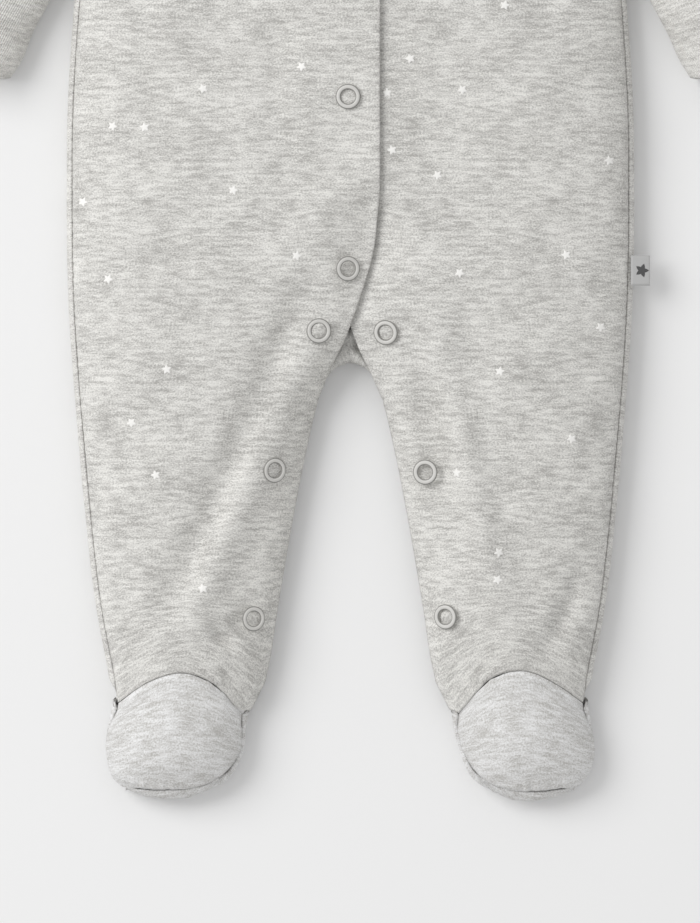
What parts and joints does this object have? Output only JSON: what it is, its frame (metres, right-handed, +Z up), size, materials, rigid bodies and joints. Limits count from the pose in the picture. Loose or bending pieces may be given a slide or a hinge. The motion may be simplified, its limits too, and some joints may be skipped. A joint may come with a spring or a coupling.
{
  "type": "footed baby sleepsuit",
  "caption": "Long-sleeved footed baby sleepsuit of grey heather jersey, laid flat, closed by ring snaps down the front and both inner legs.",
  "frame": {"origin": "on the surface the suit lies on, under the middle of its bounding box", "axes": "+X towards the wearer's left, +Y from the toes to the neck, +Z up out of the front"},
  "size_m": [0.3952, 0.5062, 0.0291],
  "materials": {
    "heather_jersey": "matt knitted jersey, pale grey heather",
    "heather_rib": "matt rib knit, pale grey heather",
    "enamel": "pale satin enamel",
    "label_tape": "woven satin tape, pale grey"
  },
  "bodies": {
    "root": {"front_right": "heather_jersey", "front_left": "heather_jersey", "back": "heather_jersey", "crotch_strip": "heather_jersey", "vamp_right": "heather_jersey", "vamp_left": "heather_jersey", "sole_right": "heather_jersey", "sole_left": "heather_jersey", "sleeve_right": "heather_jersey", "sleeve_left": "heather_jersey", "cuff_right": "heather_rib", "cuff_left": "heather_rib", "neckband": "heather_rib", "snap_01": "enamel", "snap_02": "enamel", "snap_03": "enamel", "snap_04": "enamel", "snap_05": "enamel", "snap_06": "enamel", "snap_07": "enamel", "snap_08": "enamel", "snap_09": "enamel", "snap_10": "enamel", "side_label": "label_tape"}
  },
  "joints": []
}
